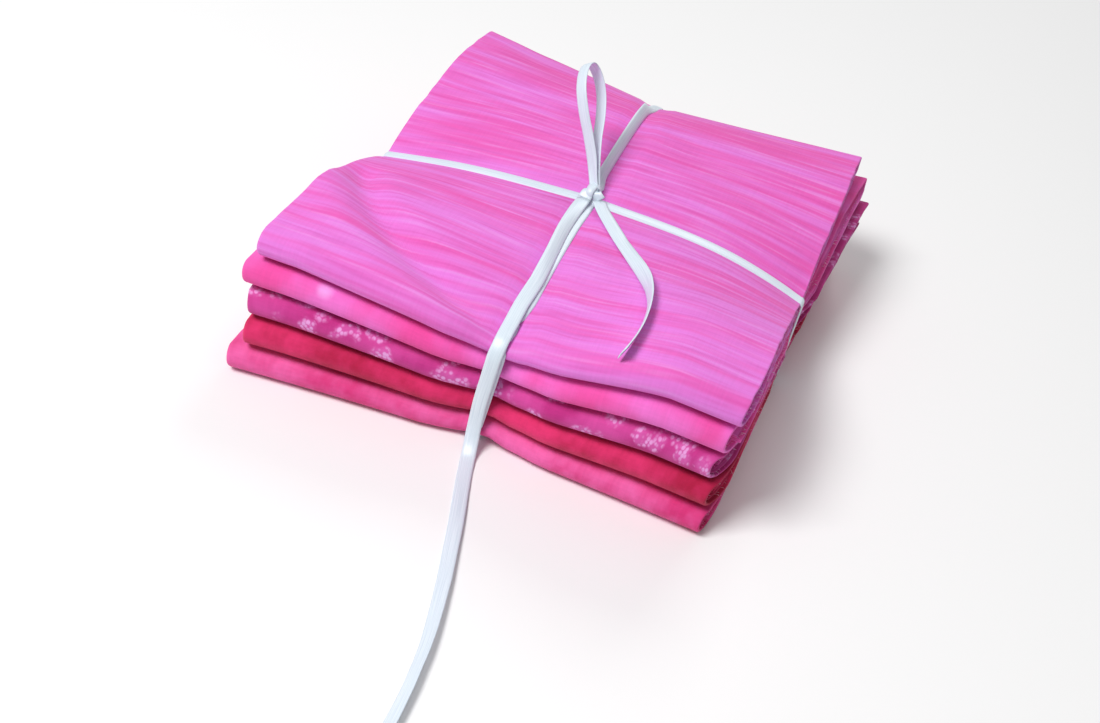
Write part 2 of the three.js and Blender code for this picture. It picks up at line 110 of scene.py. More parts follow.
# Loose threads of the cut edges, in metres but for the turn in radians, the share that is there, and the
# height in millimetres below which none hangs
FRAY_SPACING = 0.0011
FRAY_LENGTH = 0.0014
FRAY_THICKNESS = 0.00007
FRAY_TURN = 0.7
FRAY_SHARE = 0.45
LOWEST_THREAD = 0.1

# Where the tied ribbon holds the edges, and how it presses the top down
TIED = dict(left=-70.0, right=70.9, front=-75.0, back=76.0)
TIED_FLAT = 4.6
TIED_FADE = 19.0
PRESS_MIDDLE = 4.1
PRESS = dict(
    left=dict(drop=10, rise=1.5, reach=(38, 48), spread=1.3),
    right=dict(drop=10, rise=2.6, reach=(44, 48), spread=1.3),
    front=dict(drop=10, rise=1.6, reach=(60, 42), spread=1.1),
    back=dict(drop=8.6, rise=5, reach=(72, 83), spread=1),
)
DROOPS = [dict(x=-72, y=-80, drop=3.5, reach=70), dict(x=72, y=-78, drop=1.3, reach=34)]
SWELL = dict(rise=0.24, start=30)
PUFF = dict(x=50, y=-52, rise=1.6, reach=34)
GROOVE = dict(depth=1.0, flat=2.0, reach=7.0)
SEAT_SOFTNESS = 3.0
RELIEF_FROM = 0.8

# Soft troughs of the top, each a curve from one point by a second to a third
TROUGHS = [
    dict(start=(-63, -30), by=(-48, -58.5), end=(-1, -69), depth=3.6, width=5.0),
    dict(start=(-71, -40), by=(-55, -68), end=(-12, -77), depth=-1.0, width=5.0),
    dict(start=(14, -22), by=(40, -30), end=(70, -22), depth=0.6, width=7.0),
    dict(start=(12, -48), by=(40, -60), end=(68, -58), depth=0.7, width=7.0),
    dict(start=(20, 40), by=(44, 30), end=(70, 34), depth=0.7, width=8.0),
    dict(start=(-66, 30), by=(-40, 44), end=(-12, 38), depth=0.8, width=9.0),
    dict(start=(-50, 70), by=(-36, 58), end=(-14, 60), depth=0.5, width=6.0),
]

# The underside's channels for the ribbon, the pocket where they cross, and the edges that the ribbon lifts
CHANNEL = dict(depth=1.5, flat=3.0, reach=5.4)
POCKET = dict(depth=3, flat=6, reach=11)
EDGE_LIFT = dict(rise=0.3, across=13, inward=14)

# How far the ribbon runs off the middle at each edge, and how far the side-to-side run dips to the front
BAND_OFF = dict(left=-2.5, right=0.5, front=4.8, back=-2.8)
CROSSING = dict(dip=2.2, reach=50, fade=45)

# The ribbon, and how deep the thin strip lies below the solid's own line
RIBBON_HALF = 2.1
RIBBON_THIN = 0.16
RIBBON_BEAD = 0.23
SEAT = 0.8
WRAP_SINK = 0.58
WRAP_CUP = -0.28
WRAP_CORNER = dict(left=1.8, right=1.8, front=4, back=2.4)
WRAP_BULGE = 1.2
WRAP_END = 4.8
WRAP_SIDE_END = 65.0
UNDER_LOW = 0.65
UNDER_HIGH = 2.0
UNDER_OFFSET = 3.2
UNDER_INNER = 0.2
BACK_LEAN = dict(angle=-54.0, start=2, rise=9, end=68, fade=12)

# The front of the wrap lies aside of the long free end: how far, the shares that set in and where, over what
# length, and how far it leans down the front. The last is how far the free ends are cupped.
TAIL_OVERLAP = 1.9
OVERLAP_STEPS = ((0.2, 8), (0.8, 56))
OVERLAP_FADE = 12
TAIL_LEAN = -2.9
TAIL_CUP = -0.22

# The knot: its place, its core, how narrow and cupped the ribbon leaves it, and its turns. Columns of the
# turns: name, heading on top in degrees, reach, rise, share of the ribbon's width, and middle.
KNOT_Z = 44.8
KNOT_TOP = 45.7
KNOT_FORWARD = -1.2
KNOT_CORE = (1.7, 2.4, 1.7)
KNOT_CREASE = 0.08
PINCHED_WIDTH = 0.7
PINCHED_CUP = -0.5
TURN_CUP = -0.3
KNOT_TURNS = [("turn across", 24, 2.0, 1.8, 0.64, (0.0, 0.9)), ("bite", 84, 2.6, 2.1, 0.56, (-0.1, -0.3))]

# The free ends as the part has them: x, y, height above the cloth or the table, roll from lying flat in
# degrees, and how much nearer the thin ribbon lies to what it rests on, down and inwards. A last number moves
# it aside.
SHORT_TAIL = [
    (3.1, -3.5, 2.5, 0, 0.9, 0),
    (6, -8, 1.9, 0, 0.9, 0),
    (11, -14, 1.5, 4, 0.8, 0),
    (16.5, -20.3, 1.5, 8, 0.7, 0),
    (22, -26.8, 1.9, 24, 0.7, 0),
    (27, -33.6, 2.4, 50, 0.8, 0),
    (31.2, -41, 2.8, 74, 0.8, 0),
    (34, -48.8, 3, 82, 0.9, 0),
    (35.3, -57, 3.1, 80, 0.9, 0),
    (35.4, -65, 3.2, 76, 0.9, 0),
    (34.6, -73, 4.4, 70, 1.0, 0),
]
LONG_TAIL_TOP = [
    (-1.3, -5, 2.9, 4, 1.2, 0),
    (-1.2, -12, 2.3, -14, 0.9, 0),
    (-0.4, -24, 2.2, -28, 0.6, 0),
    (1.2, -38, 2.2, -30, 0.6, 0),
    (2.2, -50, 2.5, -18, 0.9, 0),
    (2.8, -60, 2.7, -4, 1.3, 0, -0.8),
]
LONG_TAIL_FRONT = [
    (3.4, -69.9, 38.5, 0, 1.3, 0.2, -1.1),
    (3.5, -73.1, 37.9, 0, 1.2, 0.6, -1.0),
    (3.5, -75.8, 36, 0, 0.8, 1.0, -1.0),
    (3.4, -77.7, 33.3, 0, 0.5, 1.2, -1.1),
    (3.3, -78.3, 30.1, 0, 0.3, 1.3, -1.2),
    (2.8, -78.4, 23, 0, 0, 1.3, -1.4),
    (2.2, -78.3, 16, 0, 0, 1.1, -1.5),
    (1.9, -78.2, 9, 0, 0, 0.6, -1.5),
    (1.9, -78.8, 5.8, 0, 0.1, 0.3, -1.4),
    (2.1, -80.7, 3.1, 0, 0.2, 0.2, -1.0),
    (2.6, -83.4, 1.3, 2, 0.3, 0.1, -0.7),
    (3.4, -86.6, 0.65, 4, 0.15, 0, -0.5),
    (6.9, -97, 0.65, 8, 0.1, 0, -0.7),
    (10.1, -106.5, 0.65, 14, -0.1, 0, -0.7),
    (13, -116, 0.65, 20, -0.3, 0, -0.7),
    (15.7, -125.5, 0.9, 26, -0.25, 0, -0.5),
    (18.3, -135, 1.4, 34, 0.02, 0, -0.6),
    (20.7, -144, 2.1, 41, 0.5, 0, -0.9),
    (22.4, -153, 2.4, 44, 0.7, 0, -1.2),
    (23.3, -162, 2.2, 42, 0.55, 0, -1.1),
    (23.4, -171, 1.7, 36, 0.2, 0, -0.8),
    (22.6, -180, 1.3, 26, 0.15, 0, -0.5),
]

# The loop: its direction from the knot, the way its width lies, and its route. Columns: along, across.
LOOP_DIRECTION = (-0.404, 0.598, 0.693)
LOOP_WIDTH = (0.826, -0.085, 0.554)
LOOP_START = 2.6
LOOP_ROWS = [
    (-4.2, -0.3), (0, -0.6), (5.5, -1.1), (12.5, -2.6), (20, -4.8), (27, -5.6), (32, -4.4), (35, -2.2),
    (36, 0), (35.2, 2.2), (32, 4.6), (27, 5.6), (20, 4.6), (12.5, 2.2), (5.5, 0.9), (0, 0.5), (-4.2, 0.3),
]
LOOP_WAIST = 8.0
LOOP_SHARE = 0.86
LOOP_CUP = 0.1

# Colours as seen on screen, 0 to 255
STREAK_PINK = (230, 92, 182)
STREAK_LILAC = (228, 124, 218)
STREAK_RED = (228, 66, 144)
STREAK_DARK = (208, 76, 168)
STREAK_PALE = (236, 160, 236)
SPOTTED_GROUND = ((236, 78, 162), (240, 116, 206))
SPOT = (242, 168, 236)
MOTIF_GROUND = ((188, 44, 128), (212, 74, 158))
MOTIF_HAZE = (224, 108, 190)
PETAL = (232, 162, 222)
CRIMSON_MOTTLE = ((176, 20, 66), (226, 50, 112))
ROSE_MOTTLE = ((216, 50, 122), (242, 104, 176))
THREAD_PALE = (244, 214, 238)
SATIN = ((204, 218, 230), (224, 235, 244))
SATIN_SELVEDGE = (216, 229, 240)

# The weave in threads for each metre, and the ribbon's selvedge and ribs in metres
WEAVE_THREADS = 2400.0
SELVEDGE_FROM, SELVEDGE_FULL = 0.0017, 0.0019
RIB_PITCH = 0.0006


def clamp(t):
    return np.clip(t, 0.0, 1.0)


def mix(a, b, t):
    return a + (b - a) * t


def smooth(t):
    t = clamp(t)
    return t * t * (3 - 2 * t)


def unit(vectors):
    return vectors / np.maximum(1e-9, np.linalg.norm(vectors, axis=-1, keepdims=True))


def soft_away(distance):
    return np.sqrt(distance ** 2 + SEAT_SOFTNESS ** 2) - SEAT_SOFTNESS


def tent(distance, reach):
    return clamp(1 - soft_away(distance) / reach)


def plateau(distance, flat, reach):
    return smooth((reach - np.abs(distance)) / (reach - flat))


def near(x, y, spot):
    return smooth(1 - np.hypot(x - spot["x"], y - spot["y"]) / spot["reach"])


def wave(t, seed, amplitude, longest):
    """A quiet uneven line, the sum of a few slow waves."""
    draw = np.random.default_rng(seed)
    total = np.zeros_like(t)
    for k in range(1, 6):
        size = draw.uniform(0.4, 1) / k ** 0.6
        total += size * np.sin(2 * math.pi * k * t / longest + draw.uniform(0, 6.3))
    return amplitude * total / 2


# The shape of the tied stack

def band_y(x):
    """Centre line of the side-to-side ribbon."""
    straight = np.where(x < 0, -BAND_OFF["left"] * x, BAND_OFF["right"] * x) / HALF_X
    return straight - CROSSING["dip"] * smooth((CROSSING["reach"] - np.abs(x)) / CROSSING["fade"])


def band_x(y):
    """Centre line of the front-to-back ribbon."""
    return np.where(y < 0, -BAND_OFF["front"] * y, BAND_OFF["back"] * y) / HALF_Y


def press_of(side, along, off):
    reach = np.where(off < 0, side["reach"][0], side["reach"][1])
    return side["drop"] * np.minimum(1, along) ** side["rise"] * tent(off, reach) ** side["spread"]


def press_at(x, y):
    """How far the tied ribbon presses the top of the stack down."""
    off_y = y - band_y(x)
    off_x = x - band_x(y)
    along_x = np.abs(x) / HALF_X
    along_y = np.abs(y) / HALF_Y
    side = np.where(x < 0, press_of(PRESS["left"], along_x, off_y), press_of(PRESS["right"], along_x, off_y))
    end = np.where(y < 0, press_of(PRESS["front"], along_y, off_x), press_of(PRESS["back"], along_y, off_x))
    middle = PRESS_MIDDLE * tent(off_y, PRESS["left"]["reach"][1]) ** PRESS["left"]["spread"]
    droop = sum(corner["drop"] * near(x, y, corner) for corner in DROOPS)
    return middle + side + end + droop - PUFF["rise"] * near(x, y, PUFF)


def trough_at(x, y, trough):
    t = np.linspace(0, 1, 25)[:, None]
    start, by, end = (np.array(trough[key], float) for key in ("start", "by", "end"))
    line = (1 - t) ** 2 * start + 2 * t * (1 - t) * by + t * t * end
    nearest = np.min([np.hypot(x - place[0], y - place[1]) for place in line], axis=0)
    return trough["depth"] * np.exp(-(nearest / trough["width"]) ** 2)


def relief_at(x, y):
    """Depth of the groove below the ribbon and of the soft troughs."""
    off = np.minimum(np.abs(x - band_x(y)), np.abs(y - band_y(x)))
    groove = GROOVE["depth"] * plateau(off, GROOVE["flat"], GROOVE["reach"])
    return groove + sum(trough_at(x, y, trough) for trough in TROUGHS)


def underside_at(x, y):
    away_x, away_y = np.abs(x), np.abs(y)
    lane = np.minimum(np.abs(x + np.sign(y) * UNDER_OFFSET), np.abs(y + np.sign(x) * UNDER_OFFSET))
    channel = CHANNEL["depth"] * plateau(lane, CHANNEL["flat"], CHANNEL["reach"])
    pocket = POCKET["depth"] * plateau(np.maximum(away_x, away_y), POCKET["flat"], POCKET["reach"])
    across, inward = EDGE_LIFT["across"], EDGE_LIFT["inward"]
    lift_x = clamp(1 - (HALF_X - away_x) / inward) * tent(y - band_y(x), across)
    lift_y = clamp(1 - (HALF_Y - away_y) / inward) * tent(x - band_x(y), across)
    return np.maximum(channel, pocket) + EDGE_LIFT["rise"] * np.maximum(lift_x, lift_y)


def height_at(x, y, level):
    low = underside_at(x, y)
    high = STACK - press_at(x, y)
    relief = clamp((level - RELIEF_FROM) / (1 - RELIEF_FROM)) * relief_at(x, y)
    return low + level * (high - low) - relief


def top_at(x, y):
    return height_at(np.asarray(x, float), np.asarray(y, float), 1 - GAP / 2 / STACK)


def edge_x(row, side, v):
    ends = row["left"] if side < 0 else row["right"]
    tied = TIED["left"] if side < 0 else TIED["right"]
    round_in = row["corner"] * clamp((-v - CORNER_FROM) / (HALF_Y - CORNER_FROM)) ** 2
    own = mix(ends[0], ends[1], clamp((v + HALF_Y) / (2 * HALF_Y)) ** 2) - side * round_in
    return mix(own, tied, plateau(v, TIED_FLAT, TIED_FADE))


def edge_y(row, side, u):
    left, middle, right = row["front"]
    away = clamp(np.abs(u) / HALF_X) ** EDGE_POWER
    own = np.where(u < 0, mix(middle, left, away), mix(middle, right, away)) if side < 0 else row["back"]
    tied = TIED["front"] - row["bulge"] if side < 0 else TIED["back"]
    return mix(own, tied, plateau(u, TIED_FLAT, TIED_FADE))


def place_cloth(row, u, v, level):
    """A point of a folded fat quarter, from its pad lines u and v and its level in the stack."""
    share_x = clamp((np.abs(u) - STEADY) / (HALF_X - STEADY)) ** 2
    share_y = clamp((np.abs(v) - STEADY) / (FULL_SHIFT_Y - STEADY)) ** 2
    side_x, side_y = np.where(u < 0, -1.0, 1.0), np.where(v < 0, -1.0, 1.0)
    skew_x = band_x(v) * (1 - np.abs(u) / HALF_X)
    skew_y = band_y(u) * (1 - np.minimum(1, np.abs(v) / HALF_Y))
    own_x = np.where(u < 0, edge_x(row, -1, v), edge_x(row, 1, v))
    own_y = np.where(v < 0, edge_y(row, -1, u), edge_y(row, 1, u))
    x = u + skew_x + share_x * (own_x - side_x * HALF_X)
    y = v + skew_y + share_y * (own_y - side_y * HALF_Y)
    from_x = clamp((u - SWELL["start"]) / (HALF_X - SWELL["start"]))
    from_y = clamp((v - SWELL["start"]) / (HALF_Y - SWELL["start"]))
    z = height_at(x, y, level + SWELL["rise"] * from_x * from_y * level * (1 - level))
    return x, y, z


# Meshes

def linked(name, data):
    """A new object in the scene."""
    made = bpy.data.objects.new(name, data)
    bpy.context.collection.objects.link(made)
    return made


def write_mesh(name, points, faces, uv, material):
    """A mesh object at the origin from points in the maker's frame, in millimetres."""
    mesh = bpy.data.meshes.new(name)
    places = (np.asarray(points, float) + OFFSET) * MM
    mesh.from_pydata(places.tolist(), [], [tuple(int(i) for i in f) for f in faces])
    layer = mesh.uv_layers.new(name="cut")
    loops = np.empty(len(mesh.loops), np.int32)
    mesh.loops.foreach_get("vertex_index", loops)
    layer.data.foreach_set("uv", (np.asarray(uv, float)[loops] * MM).astype(np.float32).ravel())
    mesh.polygons.foreach_set("use_smooth", [True] * len(mesh.polygons))
    mesh.materials.append(material)
    mesh.update()
    return linked(name, mesh)


def grid_faces(rows, columns):
    a = (np.arange(rows - 1)[:, None] * columns + np.arange(columns - 1)[None, :]).ravel()
    return np.stack([a, a + 1, a + columns + 1, a + columns], axis=1)


def face_out(piece):
    """Turns a closed mesh's faces outwards."""
    work = bmesh.new()
    work.from_mesh(piece.data)
    if work.calc_volume(signed=True) < 0:
        piece.data.flip_normals()
    work.free()


def joined(name, pieces):
    """Several meshes made one piece."""
    work = bmesh.new()
    for piece in pieces:
        work.from_mesh(piece.data)
    mesh = bpy.data.meshes.new(name)
    work.to_mesh(mesh)
    work.free()
    mesh.materials.append(pieces[0].data.materials[0])
    for piece in pieces:
        bpy.data.objects.remove(piece)
    return linked(name, mesh)


def catmull_rom(points, per_span):
    """A centripetal curve through the points, and each new point's place in the list of rows."""
    points = np.asarray(points, float)
    before = 2 * points[0] - points[1]
    after = 2 * points[-1] - points[-2]
    p = np.vstack([before, points, after])
    curve, places = [], []
    for i in range(1, len(p) - 2):
        knots = [0.0]
        for j in range(3):
            knots.append(knots[-1] + max(1e-6, np.linalg.norm(p[i + j] - p[i + j - 1])) ** 0.5)
        k0, k1, k2, k3 = knots
        for step in range(per_span):
            k = mix(k1, k2, step / per_span)
            a1 = mix(p[i - 1], p[i], (k - k0) / (k1 - k0))
            a2 = mix(p[i], p[i + 1], (k - k1) / (k2 - k1))
            a3 = mix(p[i + 1], p[i + 2], (k - k2) / (k3 - k2))
            b1 = mix(a1, a2, (k - k0) / (k2 - k0))
            b2 = mix(a2, a3, (k - k1) / (k3 - k1))
            curve.append(mix(b1, b2, (k - k1) / (k2 - k1)))
            places.append(i - 1 + step / per_span)
    curve.append(points[-1])
    places.append(len(points) - 1)
    return np.array(curve), np.array(places)


def ribbon_strip(name, line, sides, material, across=8, cup=0.0, width=1.0):
    """A thin ribbon along a line, sides being the direction of its width. That, the cup and the share of the
    width may differ from point to point."""
    line = np.asarray(line, float)
    cup = np.broadcast_to(cup, len(line))
    width = np.broadcast_to(width, len(line))
    tangents = unit(np.gradient(line, axis=0))
    sides = unit(sides - tangents * np.sum(sides * tangents, axis=1, keepdims=True))
    ups = np.cross(tangents, sides)
    places = np.linspace(-1, 1, across + 1)
    bead = np.where(np.abs(places) > 0.8, RIBBON_BEAD, RIBBON_THIN)
    bead[0] = bead[-1] = RIBBON_THIN * 0.6
    outline = [(a, b) for a, b in zip(places, bead)] + [(a, -b) for a, b in zip(places[::-1], bead[::-1])]
    along = np.concatenate([[0], np.cumsum(np.linalg.norm(np.diff(line, axis=0), axis=1))])
    count = len(outline)
    points, uv = [], []
    for i in range(len(line)):
        for a, b in outline:
            rise = b + cup[i] * (a * a - 0.4)
            points.append(line[i] + sides[i] * a * RIBBON_HALF * width[i] + ups[i] * rise)
            uv.append((along[i], a * RIBBON_HALF))
    faces = []
    for i in range(len(line) - 1):
        for j in range(count):
            k = (j + 1) % count
            faces.append((i * count + j, i * count + k, (i + 1) * count + k, (i + 1) * count + j))
    last = (len(line) - 1) * count
    for j in range(across):
        a, b, c, d = j, j + 1, count - 2 - j, count - 1 - j
        faces.append((a, d, c, b))
        faces.append((last + a, last + b, last + c, last + d))
    piece = write_mesh(name, points, faces, uv, material)
    face_out(piece)
    return piece


# Nodes

def node(tree, kind, inputs=None, **settings):
    made = tree.nodes.new(kind)
    for key, value in settings.items():
        setattr(made, key, value)
    for key, value in (inputs or {}).items():
        socket = made.inputs[key]
        if isinstance(value, bpy.types.NodeSocket):
            tree.links.new(value, socket)
        else:
            socket.default_value = value
    return made


def math_node(tree, operation, *values):
    return node(tree, "ShaderNodeMath", dict(enumerate(values)), operation=operation).outputs[0]


def srgb(colour):
    """The shader's colour for one as seen on screen."""
    def linear(value):
        value /= 255
        return value / 12.92 if value <= 0.04045 else ((value + 0.055) / 1.055) ** 2.4
    return (*(linear(value) for value in colour), 1.0)


def blend_colour(tree, mask, a, b):
    """Two colours mixed by a mask, each a socket or a colour as seen on screen."""
    a, b = (srgb(value) if isinstance(value, tuple) else value for value in (a, b))
    return node(tree, "ShaderNodeMix", {0: mask, 6: a, 7: b}, data_type="RGBA").outputs[2]


def ramp(tree, value, low, high):
    """A mask that rises smoothly from 0 at low to 1 at high."""
    made = node(tree, "ShaderNodeMapRange", {"Value": value, "From Min": low, "From Max": high},
                interpolation_type="SMOOTHSTEP", clamp=True)
    return made.outputs["Result"]


def scaled(tree, vector, scale):
    return node(tree, "ShaderNodeMapping", {"Vector": vector, "Scale": scale}).outputs["Vector"]


def noise(tree, vector, scale, detail=2.0, roughness=0.5, distortion=0.0):
    made = node(tree, "ShaderNodeTexNoise", {"Vector": vector, "Scale": scale, "Detail": detail,
                                             "Roughness": roughness, "Distortion": distortion})
    return made.outputs["Fac"]


def cells_of(tree, vector, scale, randomness):
    """Distance to the nearest of loosely scattered points."""
    made = node(tree, "ShaderNodeTexVoronoi", {"Vector": vector, "Scale": scale, "Randomness": randomness})
    return made.outputs["Distance"]


def new_tree(name, kind, inputs, outputs):
    """A node group with its sockets: the group, what it is given and what it puts out."""
    tree = bpy.data.node_groups.new(name, kind)
    for key, socket_type, value in inputs:
        socket = tree.interface.new_socket(key, in_out="INPUT", socket_type=socket_type)
        if value is not None:
            socket.default_value = value
    for key, socket_type in outputs:
        tree.interface.new_socket(key, in_out="OUTPUT", socket_type=socket_type)
    return tree, tree.nodes.new("NodeGroupInput").outputs, tree.nodes.new("NodeGroupOutput").inputs


def new_material(name, values):
    """A material, its nodes and its shader, with the values that are the same all over."""
    material = bpy.data.materials.new(name)
    material.use_nodes = True
    tree = material.node_tree
    tree.nodes.clear()
    shader = node(tree, "ShaderNodeBsdfPrincipled", values)
    node(tree, "ShaderNodeOutputMaterial", {"Surface": shader.outputs[0]})
    return material, tree, shader


# Cloth and ribbon materials

def weave_group():
    """The plain weave of quilting cotton: a height, and a fleck mask of thicker threads."""
    tree, given, put = new_tree(
        "plain weave", "ShaderNodeTree", [("Vector", "NodeSocketVector", None)],
        [("Height", "NodeSocketFloat"), ("Fleck", "NodeSocketFloat")],
    )
    split = node(tree, "ShaderNodeSeparateXYZ", {0: given["Vector"]})
    turns = WEAVE_THREADS * math.pi
    along = math_node(tree, "SINE", math_node(tree, "MULTIPLY", split.outputs[0], turns))
    across = math_node(tree, "SINE", math_node(tree, "MULTIPLY", split.outputs[1], turns))
    height = math_node(tree, "MULTIPLY_ADD", math_node(tree, "MULTIPLY", along, across), 0.5, 0.5)
    slub = noise(tree, scaled(tree, given["Vector"], (120, 1600, 1)), 1.0)
    slub_across = noise(tree, scaled(tree, given["Vector"], (1600, 120, 1)), 1.0)
    fleck = math_node(tree, "MULTIPLY_ADD", slub, 0.5, math_node(tree, "MULTIPLY", slub_across, 0.5))
    tree.links.new(height, put["Height"])
    tree.links.new(fleck, put["Fleck"])
    return tree


def cotton(name, print_of):
    """Matte woven cotton, print_of giving the printed colour from the cloth's own coordinates."""
    material, tree, shader = new_material(name, {
        "Roughness": 0.85, "Specular IOR Level": 0.25, "Sheen Weight": 0.12, "Sheen Roughness": 0.5})
    cut = node(tree, "ShaderNodeUVMap", uv_map="cut").outputs["UV"]
    weave = node(tree, "ShaderNodeGroup", {"Vector": cut}, node_tree=WEAVE)
    colour = print_of(tree, cut)
    fleck = ramp(tree, weave.outputs["Fleck"], 0.35, 0.65)
    darker = node(tree, "ShaderNodeHueSaturation", {"Color": colour, "Value": 0.94})
    shown = blend_colour(tree, fleck, darker.outputs[0], colour)
    tree.links.new(shown, shader.inputs["Base Color"])
    bump = node(tree, "ShaderNodeBump",
                {"Height": weave.outputs["Height"], "Strength": 0.25, "Distance": 0.00008})
    tree.links.new(bump.outputs[0], shader.inputs["Normal"])
    return material


def thread_material(name, colour):
    """Loose cotton fibre, a little uneven in colour."""
    material, tree, shader = new_material(name, {"Roughness": 0.9, "Sheen Weight": 0.2})
    place = node(tree, "ShaderNodeTexCoord").outputs["Object"]
    tone = ramp(tree, noise(tree, place, 900.0, 1.0), 0.35, 0.65)
    tree.links.new(blend_colour(tree, tone, colour, THREAD_PALE), shader.inputs["Base Color"])
    return material


def streaky_print(tree, cut):
    """Long streaks of red-pink, hot pink and lilac that run along the width of the cut."""
    drift = noise(tree, scaled(tree, cut, (9, 14, 1)), 1.0, 2.0)
    shift = node(tree, "ShaderNodeCombineXYZ", {"Y": math_node(tree, "MULTIPLY_ADD", drift, 0.006, -0.003)})
    vector = node(tree, "ShaderNodeVectorMath", {0: cut, 1: shift.outputs[0]}, operation="ADD").outputs[0]
    broad = noise(tree, scaled(tree, vector, (4, 60, 1)), 1.0, 2.0, 0.5)
    medium = noise(tree, scaled(tree, vector, (15, 260, 1)), 1.0, 2.0, 0.55)
    fine = noise(tree, scaled(tree, vector, (34, 640, 1)), 1.0, 1.0, 0.6)
    split = node(tree, "ShaderNodeSeparateXYZ", {0: cut})
    paler = math_node(tree, "MULTIPLY", ramp(tree, split.outputs[1], 0.26, 0.16), 0.08)
    tone = math_node(tree, "MULTIPLY_ADD", medium, 0.55, math_node(tree, "MULTIPLY_ADD", broad, 0.45, paler))
    base = blend_colour(tree, ramp(tree, tone, 0.41, 0.66), STREAK_PINK, STREAK_LILAC)
    reds = math_node(tree, "MULTIPLY", ramp(tree, tone, 0.44, 0.3), 0.4)
    streaked = blend_colour(tree, reds, base, STREAK_RED)
    dark = math_node(tree, "MULTIPLY", ramp(tree, fine, 0.5, 0.24), 0.4)
    lined = blend_colour(tree, dark, streaked, STREAK_DARK)
    pale = math_node(tree, "MULTIPLY", ramp(tree, fine, 0.5, 0.78), 0.4)
    return blend_colour(tree, pale, lined, STREAK_PALE)


def spotted_print(tree, cut):
    """Bright pink with soft pale spots."""
    spot = ramp(tree, cells_of(tree, scaled(tree, cut, (85, 100, 1)), 1.0, 0.9), 0.3, 0.1)
    some = ramp(tree, noise(tree, cut, 90.0, 1.0), 0.5, 0.62)
    cloud = noise(tree, cut, 45.0, 3.0)
    base = blend_colour(tree, ramp(tree, cloud, 0.35, 0.65), *SPOTTED_GROUND)
    return blend_colour(tree, math_node(tree, "MULTIPLY", spot, some), base, SPOT)


def motif_print(tree, cut):
    """Magenta with loose soft clusters of tiny pale petals."""
    drift = noise(tree, cut, 320.0, 2.0)
    uneven = node(tree, "ShaderNodeVectorMath", {0: drift, 1: (0.004, 0.003, 0), 2: cut},
                  operation="MULTIPLY_ADD").outputs[0]
    disc = ramp(tree, cells_of(tree, scaled(tree, uneven, (135, 185, 1)), 1.0, 0.85), 0.55, 0.33)
    some = ramp(tree, noise(tree, cut, 75.0, 1.0), 0.37, 0.47)
    cluster = math_node(tree, "MULTIPLY", disc, some)
    petal = ramp(tree, cells_of(tree, cut, 850.0, 0.9), 0.66, 0.3)
    cloud = noise(tree, cut, 60.0, 3.0)
    base = blend_colour(tree, ramp(tree, cloud, 0.35, 0.65), *MOTIF_GROUND)
    hazy = blend_colour(tree, math_node(tree, "MULTIPLY", cluster, 0.5), base, MOTIF_HAZE)
    return blend_colour(tree, math_node(tree, "MULTIPLY", petal, cluster), hazy, PETAL)


def mottled_print(dark, bright):
    """A tonal mottle, as of hand-dyed cloth."""
    def made(tree, cut):
        cloud = noise(tree, scaled(tree, cut, (26, 34, 1)), 1.0, 4.0, 0.55, 0.6)
        small = noise(tree, cut, 210.0, 2.0)
        tone = math_node(tree, "MULTIPLY_ADD", small, 0.25, math_node(tree, "MULTIPLY", cloud, 0.75))
        return blend_colour(tree, ramp(tree, tone, 0.36, 0.64), dark, bright)
    return made


def satin_material():
    """White satin ribbon with fine lengthwise lines and firmer selvedges."""
    material, tree, shader = new_material("satin ribbon", {"Specular IOR Level": 0.85, "Sheen Weight": 0.1})
    cut = node(tree, "ShaderNodeUVMap", uv_map="cut").outputs["UV"]
    split = node(tree, "ShaderNodeSeparateXYZ", {0: cut})
    across = math_node(tree, "ABSOLUTE", split.outputs[1])
    selvedge = ramp(tree, across, SELVEDGE_FROM, SELVEDGE_FULL)
    lines = noise(tree, scaled(tree, cut, (60, 6000, 1)), 1.0, 2.0)
    base = blend_colour(tree, ramp(tree, lines, 0.3, 0.7), *SATIN)
    tree.links.new(blend_colour(tree, selvedge, base, SATIN_SELVEDGE), shader.inputs["Base Color"])
    rough = node(tree, "ShaderNodeMapRange", {"Value": selvedge, "To Min": 0.42, "To Max": 0.55})
    tree.links.new(rough.outputs["Result"], shader.inputs["Roughness"])
    ribs = math_node(tree, "SINE", math_node(tree, "MULTIPLY", split.outputs[0], 2 * math.pi / RIB_PITCH))
    height = math_node(tree, "MULTIPLY_ADD", math_node(tree, "MULTIPLY", ribs, selvedge), 0.6, lines)
    bump = node(tree, "ShaderNodeBump", {"Height": height, "Strength": 0.2, "Distance": 0.00006})
    tree.links.new(bump.outputs[0], shader.inputs["Normal"])
    return material


# The fat quarters

def fold_arc(centre_a, centre_b, radius, start, end, steps):
    """Points of a bend: two coordinates and the outward direction."""
    angles = np.radians(np.linspace(start, end, steps + 1))
    c, s = np.cos(angles), np.sin(angles)
    return [(centre_a + radius * c[i], centre_b + radius * s[i], c[i], s[i]) for i in range(steps + 1)]


def pad_lines(half, spacing, edge=10.0, edge_spacing=2.0):
    """Lines from one side of the pad to the other, close together near both edges."""
    inner = half - edge
    count = max(2, round(2 * inner / spacing))
    middle = np.linspace(-inner, inner, count + 1)
    near_edge = np.linspace(inner, half, max(2, round(edge / edge_spacing)) + 1)[1:]
    return np.concatenate([-near_edge[::-1], middle, near_edge])


